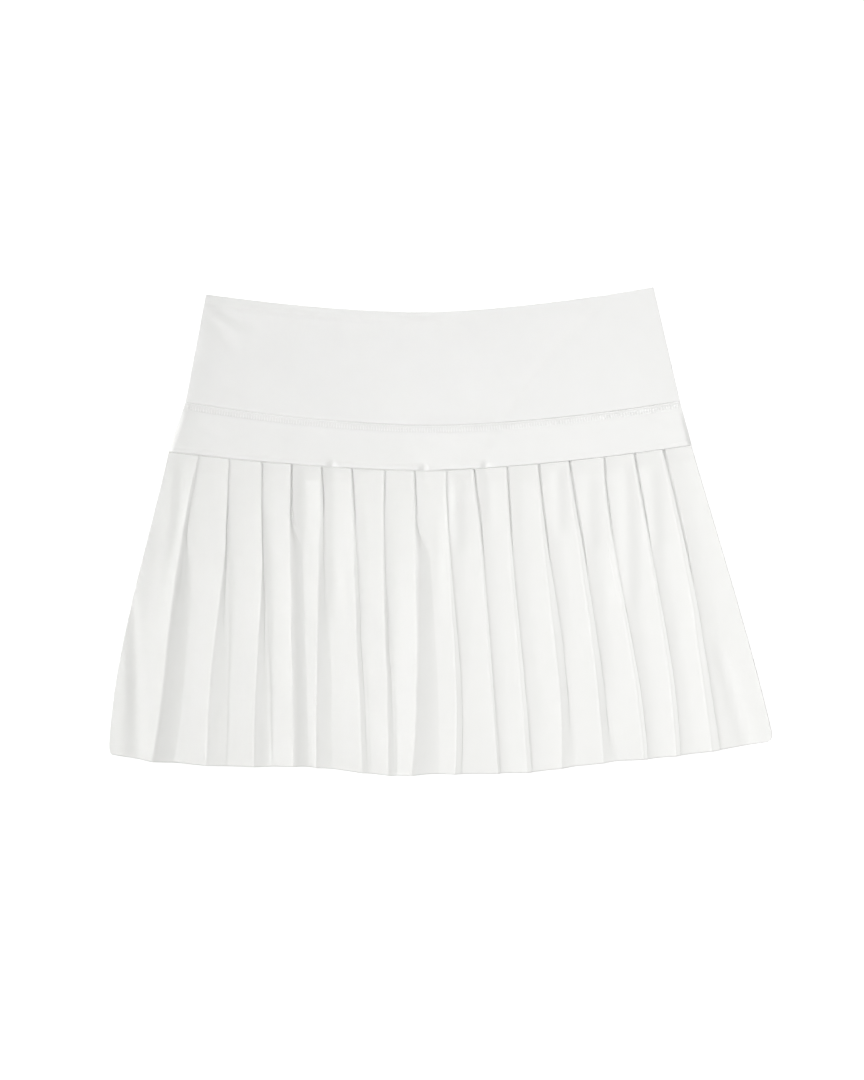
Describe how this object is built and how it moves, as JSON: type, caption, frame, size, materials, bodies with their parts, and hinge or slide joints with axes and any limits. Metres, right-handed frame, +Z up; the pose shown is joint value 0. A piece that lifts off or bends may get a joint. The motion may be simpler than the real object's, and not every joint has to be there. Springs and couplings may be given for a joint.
{
  "type": "tennis skirt",
  "caption": "Short white tennis skirt laid flat: a deep doubled waistband, a narrow yoke and knife pleats all folded the same way.",
  "frame": {"origin": "centre of the skirt's bounding box, on the surface that the skirt lies on", "axes": "+X across the skirt to the right as it is seen from above, +Y from the hem to the waist, +Z up from the surface"},
  "size_m": [0.5236, 0.3808, 0.0097],
  "materials": {
    "band_knit": "smooth doubled interlock knit, matt with a slight sheen",
    "yoke_knit": "smooth interlock knit, matt",
    "pleated_cloth": "light heat-set pleated cloth, matt"
  },
  "bodies": {
    "root": {"waistband_front": "band_knit", "waistband_back": "band_knit", "yoke_front": "yoke_knit", "yoke_back": "yoke_knit", "pleats_front": "pleated_cloth", "pleats_back": "pleated_cloth"}
  },
  "joints": []
}
